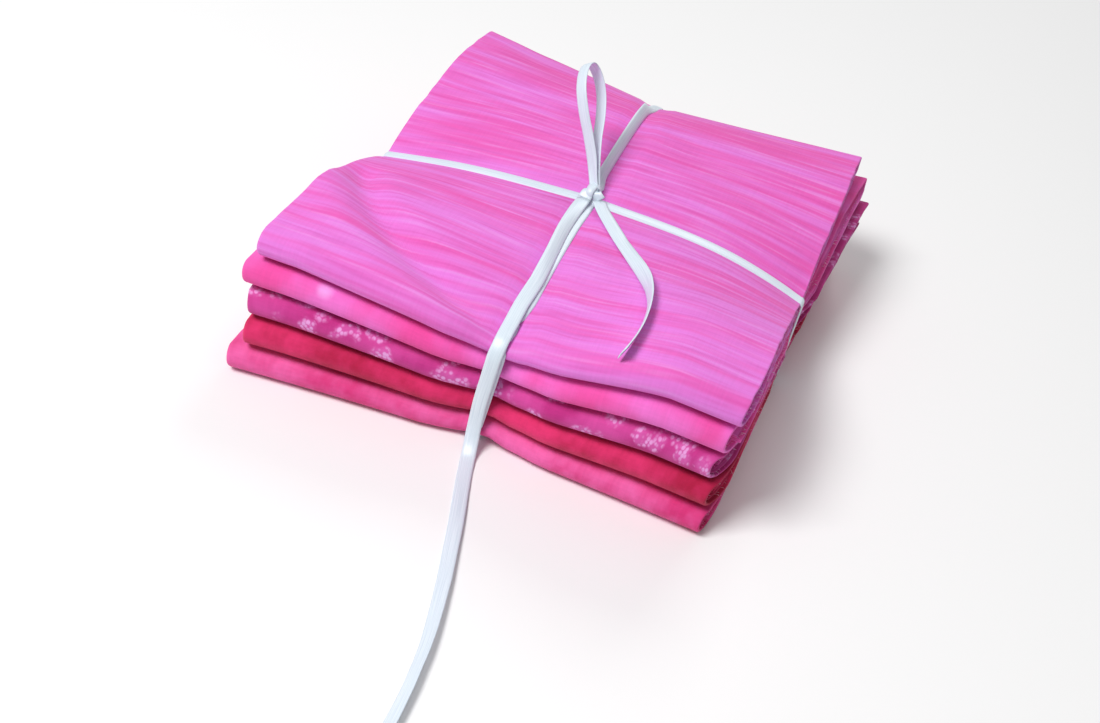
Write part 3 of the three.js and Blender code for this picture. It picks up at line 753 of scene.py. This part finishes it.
def quarter_fold(spacing):
    """The fold in quarters across the width: one row for each line along the cloth, with its place u in the
    pad and its offset w from the layer's middle."""
    bend = 1.5 * PLY
    straight = pad_lines(HALF_X - bend, spacing)
    inner_end = HALF_X - 0.5 * PLY - 0.5
    to_right = straight[straight < inner_end]
    rows = [(u, -1.5 * PLY) for u in straight[::-1]]
    rows += [p[:2] for p in fold_arc(-HALF_X + bend, 0, bend, -90, -270, 8)[1:-1]]
    rows += [(u, 1.5 * PLY) for u in to_right]
    rows += [p[:2] for p in fold_arc(inner_end, PLY, 0.5 * PLY, 90, -90, 4)]
    rows += [(u, 0.5 * PLY) for u in to_right[::-1]]
    rows += [p[:2] for p in fold_arc(-HALF_X + bend, 0, 0.5 * PLY, 90, 270, 4)[1:-1]]
    rows += [(u, -0.5 * PLY) for u in straight]
    return np.array(rows)


def thirds_fold(spacing, hidden_spacing):
    """The fold in thirds: places v and h in the section and the outward direction, with a layer number that
    runs from 0 in the bottom layer by 1 at the front fold, 2 in the top layer and 3 at the back fold to 4."""
    half = LAYER / 2
    middle = BODY / 2
    high = BODY - half
    front_v = -HALF_Y + BODY / 2
    back_radius = (high - middle) / 2
    back_v = HALF_Y - back_radius - half
    hidden = pad_lines(72, hidden_spacing)
    hidden = hidden[(hidden > front_v + 1) & (hidden < back_v - 1)]
    shown = np.linspace(front_v, back_v, max(8, round((back_v - front_v) / spacing)) + 1)[1:-1]
    rows = [(v, half, 0, -1, 0) for v in [BOTTOM_LAYER_END, *hidden[::-1]]]
    rows += [(*p, 1) for p in fold_arc(front_v, middle, middle - half, 270, 90, 14)]
    rows += [(v, high, 0, 1, 2) for v in shown]
    rows += [(*p, 3) for p in fold_arc(back_v, (high + middle) / 2, back_radius, 90, -90, 8)]
    rows += [(v, middle, 0, -1, 4) for v in [*hidden[hidden > TUCKED_LAYER_END + 2][::-1], TUCKED_LAYER_END]]
    return np.array(rows, float)


def lengths_along(a, b, total):
    steps = np.hypot(np.diff(a), np.diff(b))
    along = np.concatenate([[0], np.cumsum(steps)])
    return along * total / along[-1]


def steps_along(row, layers, key):
    """The shift of a layer's end, eased from one layer to the next round the folds."""
    values = np.array(row[key], float)[layers.astype(int)]
    kernel = np.hanning(15)
    kernel /= kernel.sum()
    return np.convolve(np.pad(values, 7, mode="edge"), kernel, mode="valid")


def uneven_ends(row, index, u, v, w, layers, t):
    """How far the folded ends to both sides and the cut edges lie out, each on its own line."""
    untied = 1 - plateau(v, TIED_FLAT, TIED_FADE)
    share = clamp((np.abs(u) - ENDS_FROM) / (HALF_X - ENDS_FROM)) ** 2 * untied
    shift = np.where(u < 0, steps_along(row, layers, "step_left")[:, None],
                     steps_along(row, layers, "step_right")[:, None])
    cut = np.zeros_like(u)
    for ply, seed in CUT_PLIES:
        own = np.isclose(w, ply * PLY) & (u > 0)
        cut += own * (wave(t, seed + 20 * index, CUT_WANDER, CUT_WAVE) - CUT_WANDER)[:, None]
    slow = wave(t, 40 + index, SLOW_WANDER, SLOW_WAVE)
    quick = wave(t, 60 + index, QUICK_WANDER, QUICK_WAVE if index else QUICK_WAVE_TOP)
    return share * (shift + cut + (slow + quick)[:, None])


def folded_sheet(row, index, material):
    """One fat quarter as one sheet, folded in quarters and then in thirds, and its loose threads."""
    across, along = SPACING if index else SPACING_TOP
    station = quarter_fold(across)
    section = thirds_fold(along, SPACING_HIDDEN)
    s = lengths_along(station[:, 0], station[:, 1], CUT_WIDTH)
    t = lengths_along(section[:, 0], section[:, 1], CUT_DEPTH)
    layers = section[:, 4]
    u = np.repeat(station[None, :, 0], len(section), axis=0)
    w = np.repeat(station[None, :, 1], len(section), axis=0)
    bunch = INNER_BUNCH * (1.5 * PLY - w) * np.where(layers == 1, section[:, 2] ** 2, 0)[:, None]
    v = section[:, 0:1] + (w - bunch) * section[:, 2:3]
    below = len(FAT_QUARTERS) - 1 - index
    base = below * PITCH + GAP / 2 if below else TABLE_GAP
    h = base + section[:, 1:2] + (w - bunch) * section[:, 3:4]
    x, y, z = place_cloth(row, u, v, h / STACK)
    grid = np.stack([x + uneven_ends(row, index, u, v, w, layers, t), y, z], axis=2)

    uv = np.stack([np.repeat(s[None, :], len(t), axis=0), np.repeat(t[:, None], len(s), axis=1)], axis=2)
    faces = grid_faces(len(t), len(s))
    piece = write_mesh("cloth_" + row["name"], grid.reshape(-1, 3), faces, uv.reshape(-1, 2), material)
    thicken = piece.modifiers.new("thickness", "SOLIDIFY")
    thicken.thickness = CLOTH_THICKNESS * MM
    thicken.offset = 0
    return piece, frayed_edges(row, grid, index)


def fray_tree():
    """Loose thread ends along a line of points, each pointing the way that the line's points say."""
    tree, given, put = new_tree(
        "frayed threads", "GeometryNodeTree",
        [("Geometry", "NodeSocketGeometry", None), ("Seed", "NodeSocketInt", 3),
         ("Material", "NodeSocketMaterial", None)],
        [("Geometry", "NodeSocketGeometry")],
    )
    line = node(tree, "GeometryNodeMeshToCurve", {"Mesh": given["Geometry"]}).outputs[0]
    places = node(tree, "GeometryNodeResampleCurve", {"Curve": line, "Length": FRAY_SPACING}, mode="LENGTH")
    bend = node(tree, "GeometryNodeCurveQuadraticBezier",
                {"Resolution": 4, "Start": (0, 0, 0), "Middle": (0.5, 0.16, 0.05), "End": (1, -0.06, 0.02)})
    profile = node(tree, "GeometryNodeCurvePrimitiveCircle",
                   {"Resolution": 3, "Radius": FRAY_THICKNESS / FRAY_LENGTH}, mode="RADIUS")
    thread = node(tree, "GeometryNodeCurveToMesh",
                  {"Curve": bend.outputs[0], "Profile Curve": profile.outputs[0], "Fill Caps": True})
    away = node(tree, "GeometryNodeInputNamedAttribute", {"Name": "away"}, data_type="FLOAT_VECTOR")
    aligned = node(tree, "FunctionNodeAlignRotationToVector", {"Vector": away.outputs[0]}, axis="X")
    turn = node(tree, "FunctionNodeRandomValue",
                {0: (-FRAY_TURN,) * 3, 1: (FRAY_TURN,) * 3, "Seed": given["Seed"]}, data_type="FLOAT_VECTOR")
    turned = node(tree, "FunctionNodeRotateRotation",
                  {"Rotation": aligned.outputs[0], "Rotate By": turn.outputs[0]}, rotation_space="LOCAL")
    share = node(tree, "FunctionNodeRandomValue", {2: 0.25, 3: 1.0, "Seed": given["Seed"]}, data_type="FLOAT")
    size = math_node(tree, "MULTIPLY", share.outputs[1], FRAY_LENGTH)
    kept = node(tree, "FunctionNodeRandomValue", {"Probability": FRAY_SHARE, "Seed": given["Seed"]},
                data_type="BOOLEAN")
    placed = node(tree, "GeometryNodeInstanceOnPoints", {
        "Points": places.outputs[0], "Selection": kept.outputs[3], "Instance": thread.outputs[0],
        "Rotation": turned.outputs[0], "Scale": size})
    real = node(tree, "GeometryNodeRealizeInstances", {"Geometry": placed.outputs[0]})
    dressed = node(tree, "GeometryNodeSetMaterial",
                   {"Geometry": real.outputs[0], "Material": given["Material"]})
    tree.links.new(dressed.outputs[0], put[0])
    return tree


def frayed_edges(row, grid, index):
    """Loose threads along both cut edges that run across the folds at the right side."""
    points, links, away = [], [], []
    for edge, inner in ((0, 1), (-1, -2)):
        line = grid[:, edge]
        links += [(len(points) + i, len(points) + i + 1) for i in range(len(line) - 1)]
        points += list(line)
        away += list(unit(line - grid[:, inner]))
    mesh = bpy.data.meshes.new("cut edge")
    mesh.from_pydata(((np.array(points) + OFFSET) * MM).tolist(), links, [])
    mesh.attributes.new("away", "FLOAT_VECTOR", "POINT").data.foreach_set("vector", np.array(away).ravel())
    source = linked("cut edge", mesh)
    modifier = source.modifiers.new("fray", "NODES")
    modifier.node_group = FRAY
    sockets = {item.name: item.identifier for item in FRAY.interface.items_tree if item.in_out == "INPUT"}
    modifier[sockets["Seed"]] = 5 + index
    modifier[sockets["Material"]] = thread_material(row["name"] + " thread", row["thread"])
    graph = bpy.context.evaluated_depsgraph_get()
    name = "fray_" + row["name"]
    made = linked(name, bpy.data.meshes.new_from_object(source.evaluated_get(graph)))
    made.data.name = name
    for vertex in made.data.vertices:
        vertex.co.z = max(vertex.co.z, LOWEST_THREAD * MM)
    bpy.data.objects.remove(source)
    return made


# The ribbon

def tail_rows(rows, lifted):
    """Rows of a free end with the height above the table, and all with the number that moves them aside."""
    out = []
    for x, y, height, roll, sink, inward, *aside in rows:
        z = float(top_at(x, y)) + height if lifted else height
        out.append((x, y, z, roll, sink, inward, *(aside or [0])))
    return out


def free_end(name, rows, per_span, material, cad_node):
    """A free end of the ribbon, laid as a thin strip along the part's own route."""
    rows = np.array(rows, float)
    route, places = catmull_rom(rows[:, :3], per_span)
    numbers = range(len(rows))
    roll, sink, inward, aside = (np.interp(places, numbers, column) for column in rows[:, 3:].T)
    roll = np.radians(roll)[:, None]
    tangents = unit(np.gradient(route, axis=0))
    flat = unit(np.array([1.0, 0, 0]) - tangents * tangents[:, :1])
    sides = flat * np.cos(roll) + np.cross(tangents, flat) * np.sin(roll)
    seated = route + np.stack([aside, inward, -sink], axis=1)
    piece = ribbon_strip(name, seated, sides, material, cup=TAIL_CUP)
    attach(piece, "root")
    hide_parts(cad_node)


def side_run(out, x, y, radius, lean=0.0, bulge=0.0):
    """The wrap down one side, from the top edge to the bottom edge: points and outward directions. The lean
    moves the lower part aside and the bulge moves it out."""
    out = np.array(out, float)
    inner = np.array([x, y]) - out * (radius - SEAT)
    high = float(top_at(inner[0], inner[1])) + SEAT - radius
    rows = []
    for z, start, end, aside, further in ((high, 90, 0, 0.0, 0.0), (UNDER_LOW + radius, 0, -90, lean, bulge)):
        for angle in np.radians(np.linspace(start, end, 7)):
            away = out * math.cos(angle)
            place = inner + away * radius + out * further
            rows.append((place[0] + aside, place[1], z + math.sin(angle) * radius, *away, math.sin(angle)))
    return rows


def under_turn(sign):
    """The hooked turn below the stack, from one side to an end."""
    d = UNDER_OFFSET
    radius = d - UNDER_INNER
    turn = []
    for degrees in (0, 30, 60, 90):
        angle = math.radians(degrees)
        turn.append((UNDER_INNER + radius * math.sin(angle), UNDER_INNER + radius * math.cos(angle),
                     mix(UNDER_HIGH, UNDER_LOW, degrees / 90)))
    rows = [(-9.2, d, UNDER_LOW), (-5.8, d, UNDER_HIGH), (-1, d, UNDER_HIGH), *turn, (d, -1, UNDER_LOW),
            (d, -6, UNDER_LOW)]
    return [(sign * x, sign * y, z, 0, 0, -1) for x, y, z in rows]


def on_top(x, y, lean=0.0):
    """A place of the wrap on the top, leaned over by an angle in degrees."""
    tilt = math.radians(lean)
    rise = RIBBON_HALF * abs(math.sin(tilt)) * 0.8
    return (x, y, float(top_at(x, y)) + SEAT + rise, -math.sin(tilt), 0, math.cos(tilt))


def back_lean(y):
    rise = smooth((y - BACK_LEAN["start"]) / BACK_LEAN["rise"])
    return BACK_LEAN["angle"] * float(rise * smooth((BACK_LEAN["end"] - y) / BACK_LEAN["fade"]))


def under_tail(y):
    """Where the wrap runs to the front, y from the middle, a little aside of the free end on it."""
    aside = sum(share * smooth((y - start) / OVERLAP_FADE) for share, start in OVERLAP_STEPS)
    return float(band_x(-y) - TAIL_OVERLAP * aside)


def wrap_route():
    """The whole wrap as the part has it, led on into the knot: points and the directions that its face looks
    in."""
    lines = np.arange(2.5, WRAP_SIDE_END + 0.1, 2.5)
    back_y = np.arange(WRAP_END, 66.1, 2.4)
    front = side_run((0, -1), under_tail(-TIED["front"]), TIED["front"], WRAP_CORNER["front"], TAIL_LEAN,
                     WRAP_BULGE)
    back = side_run((0, 1), float(band_x(TIED["back"])), TIED["back"], WRAP_CORNER["back"])
    left = side_run((-1, 0), TIED["left"], float(band_y(TIED["left"])), WRAP_CORNER["left"])
    right = side_run((1, 0), TIED["right"], float(band_y(TIED["right"])), WRAP_CORNER["right"])
    rows = [(0, -0.5, KNOT_Z - 0.9, 0, 0, 1), (0.3, -2.6, KNOT_Z - 1.3, 0, 0, 1)]
    rows += [on_top(under_tail(y), -y) for y in back_y]
    rows += front + under_turn(1)[::-1] + left[::-1]
    rows += [on_top(x, float(band_y(x))) for x in (*-lines[::-1], 0, *lines)]
    rows += right + under_turn(-1) + back[::-1]
    rows += [on_top(float(band_x(y)), y, back_lean(y)) for y in back_y[::-1]]
    rows += [(-0.2, 2.6, KNOT_Z - 1.3, 0, 0, 1), (0, 0.5, KNOT_Z - 0.9, 0, 0, 1)]
    return np.array(rows, float)


def ribbon_wrap(material):
    rows = wrap_route()
    faces = unit(rows[:, 3:])
    line = rows[:, :3] - faces * WRAP_SINK
    tangents = unit(np.gradient(line, axis=0))
    piece = ribbon_strip("ribbon_wrap_strip", line, np.cross(faces, tangents), material, cup=WRAP_CUP)
    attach(piece, "root")
    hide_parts("ribbon_wrap")


def ribbon_loop(material):
    direction = unit(np.array(LOOP_DIRECTION))
    width = unit(np.array(LOOP_WIDTH))
    across = np.cross(width, direction)
    start = np.array([0, 0, KNOT_Z]) + direction * LOOP_START
    line, _ = catmull_rom([start + direction * a - across * b for a, b in LOOP_ROWS], 5)
    opened = smooth((line - start) @ direction / LOOP_WAIST)
    piece = ribbon_strip("ribbon_loop_strip", line, width, material, cup=mix(PINCHED_CUP, LOOP_CUP, opened),
                         width=mix(PINCHED_WIDTH, LOOP_SHARE, opened))
    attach(piece, "root")
    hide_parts("ribbon_loop")


def knot_core(material):
    """The small lump inside the knot, creased where its turns lie side by side."""
    rings, around = 14, 28
    points, uv = [], []
    for i in range(rings + 1):
        tilt = math.pi * i / rings - math.pi / 2
        for j in range(around):
            turn = 2 * math.pi * j / around
            crease = 1 - KNOT_CREASE * math.cos(3 * turn + 2.0 * math.sin(tilt)) ** 2
            r = math.cos(tilt) * crease
            points.append((KNOT_CORE[0] * r * math.cos(turn),
                           KNOT_CORE[1] * r * math.sin(turn) + KNOT_FORWARD,
                           KNOT_TOP - KNOT_CORE[2] + KNOT_CORE[2] * math.sin(tilt) * crease))
            uv.append((KNOT_CORE[0] * turn, KNOT_CORE[1] * math.sin(tilt) * 0.5))
    faces = [(i * around + j, i * around + (j + 1) % around, (i + 1) * around + (j + 1) % around,
              (i + 1) * around + j) for i in range(rings) for j in range(around)]
    piece = write_mesh("ribbon_knot_core", points, faces, uv, material)
    face_out(piece)
    return piece


def knot_turn(material, name, heading, reach, rise, width, middle):
    """One turn of ribbon bent over the knot."""
    heading = math.radians(heading)
    run = np.array([math.cos(heading), math.sin(heading), 0])
    side = np.array([-math.sin(heading), math.cos(heading), 0])
    base = np.array([middle[0], middle[1] + KNOT_FORWARD, KNOT_TOP - rise])
    line = [base + run * reach * math.cos(angle) + np.array([0, 0, rise * math.sin(angle)])
            for angle in np.radians(np.linspace(215, -35, 19))]
    return ribbon_strip(name, line, side, material, cup=TURN_CUP, width=width)


def knot_stub(material, name, row, side):
    """The first bit of a free end, from inside the knot to just past the end's start, a hair above it."""
    x, y, height, _, sink, *_ = row
    rows = [(side * 0.4, KNOT_FORWARD + 0.8, KNOT_TOP - 1.6),
            (side * 1.0, KNOT_FORWARD - 1.6, KNOT_TOP - 1.2),
            (x, y, float(top_at(x, y)) + height - sink + 0.08)]
    line, _ = catmull_rom(rows, 6)
    opened = smooth(np.arange(len(line)) / (len(line) - 1))
    return ribbon_strip(name, line, np.array([1.0, 0, 0]), material, cup=mix(PINCHED_CUP, TAIL_CUP, opened),
                        width=mix(PINCHED_WIDTH, 1.0, opened))


def ribbon_knot(material):
    pieces = [knot_core(material), *(knot_turn(material, *turn) for turn in KNOT_TURNS)]
    pieces += [knot_stub(material, "short stub", SHORT_TAIL[0], 1)]
    pieces += [knot_stub(material, "long stub", LONG_TAIL_TOP[0], -1)]
    knot = joined("ribbon_knot_turns", pieces)
    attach(knot, "root")
    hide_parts("ribbon_knot")


# Camera, floor and light

def place_camera():
    azimuth, elevation, roll = np.radians((CAMERA_AZIMUTH, CAMERA_ELEVATION, CAMERA_ROLL)).tolist()
    back = Vector((math.sin(azimuth) * math.cos(elevation), -math.cos(azimuth) * math.cos(elevation),
                   math.sin(elevation)))
    right = Vector((0, 0, 1)).cross(back).normalized()
    up = back.cross(right)
    image_right = right * math.cos(roll) + up * math.sin(roll)
    image_up = up * math.cos(roll) - right * math.sin(roll)
    place = (Vector(CAMERA_TARGET) + back * CAMERA_DISTANCE + Vector(OFFSET)) * MM
    data = bpy.data.cameras.new("camera")
    data.sensor_width = SENSOR_WIDTH
    data.lens = CAMERA_FOCAL_PX / PHOTO_WIDTH * SENSOR_WIDTH
    data.clip_start = 0.01
    camera = linked("camera", data)
    turn = Matrix((image_right, image_up, back)).transposed()
    camera.matrix_world = Matrix.Translation(place) @ turn.to_4x4()
    bpy.context.scene.camera = camera


def floor_and_light():
    tone = (FLOOR_TONE, FLOOR_TONE, FLOOR_TONE, 1)
    material, _, _ = new_material("pale floor", {"Base Color": tone, "Roughness": 0.7})
    mesh = bpy.data.meshes.new("floor")
    mesh.from_pydata([(-3, -3, 0), (3, -3, 0), (3, 3, 0), (-3, 3, 0)], [], [(0, 1, 2, 3)])
    mesh.materials.append(material)
    floor = linked("floor", mesh)
    world = bpy.data.worlds.new("studio")
    world.use_nodes = True
    background = world.node_tree.nodes["Background"]
    background.inputs["Color"].default_value = (1, 1, 1, 1)
    background.inputs["Strength"].default_value = WORLD_STRENGTH
    bpy.context.scene.world = world
    for name, place, size, power in LIGHTS:
        data = bpy.data.lights.new(name, "AREA")
        data.energy = power
        data.size = size
        light = linked(name, data)
        light.location = place
        light.rotation_euler = Vector(place).to_track_quat("Z", "Y").to_euler()


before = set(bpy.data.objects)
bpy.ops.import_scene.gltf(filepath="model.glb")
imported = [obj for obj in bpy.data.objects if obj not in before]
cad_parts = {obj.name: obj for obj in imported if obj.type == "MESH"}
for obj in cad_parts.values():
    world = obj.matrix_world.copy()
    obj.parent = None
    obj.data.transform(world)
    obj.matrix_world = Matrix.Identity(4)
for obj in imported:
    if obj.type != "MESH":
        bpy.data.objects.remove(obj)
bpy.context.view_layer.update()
knot_low, knot_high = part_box("ribbon_knot")
OFFSET = np.array([(knot_low[0] + knot_high[0]) / 2 / MM, (knot_low[1] + knot_high[1]) / 2 / MM, 0.0])
bpy.context.scene.view_settings.view_transform = "Standard"

place_camera()
WEAVE = weave_group()
RIBBON = satin_material()
FRAY = fray_tree()
free_end("ribbon_end_short", tail_rows(SHORT_TAIL, True), 5, RIBBON, "ribbon_tail_short")
free_end("ribbon_end_long", tail_rows(LONG_TAIL_TOP, True) + tail_rows(LONG_TAIL_FRONT, False), 4, RIBBON,
         "ribbon_tail_long")
ribbon_wrap(RIBBON)
ribbon_loop(RIBBON)
ribbon_knot(RIBBON)

PRINTS = [streaky_print, spotted_print, motif_print, mottled_print(*CRIMSON_MOTTLE),
          mottled_print(*ROSE_MOTTLE)]
for index, (row, print_of) in enumerate(zip(FAT_QUARTERS, PRINTS)):
    cloth, fray = folded_sheet(row, index, cotton(row["name"] + " cotton", print_of))
    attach(fray, "root")
    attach(cloth, "root")
    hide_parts("fat_quarter_" + row["name"])

floor_and_light()
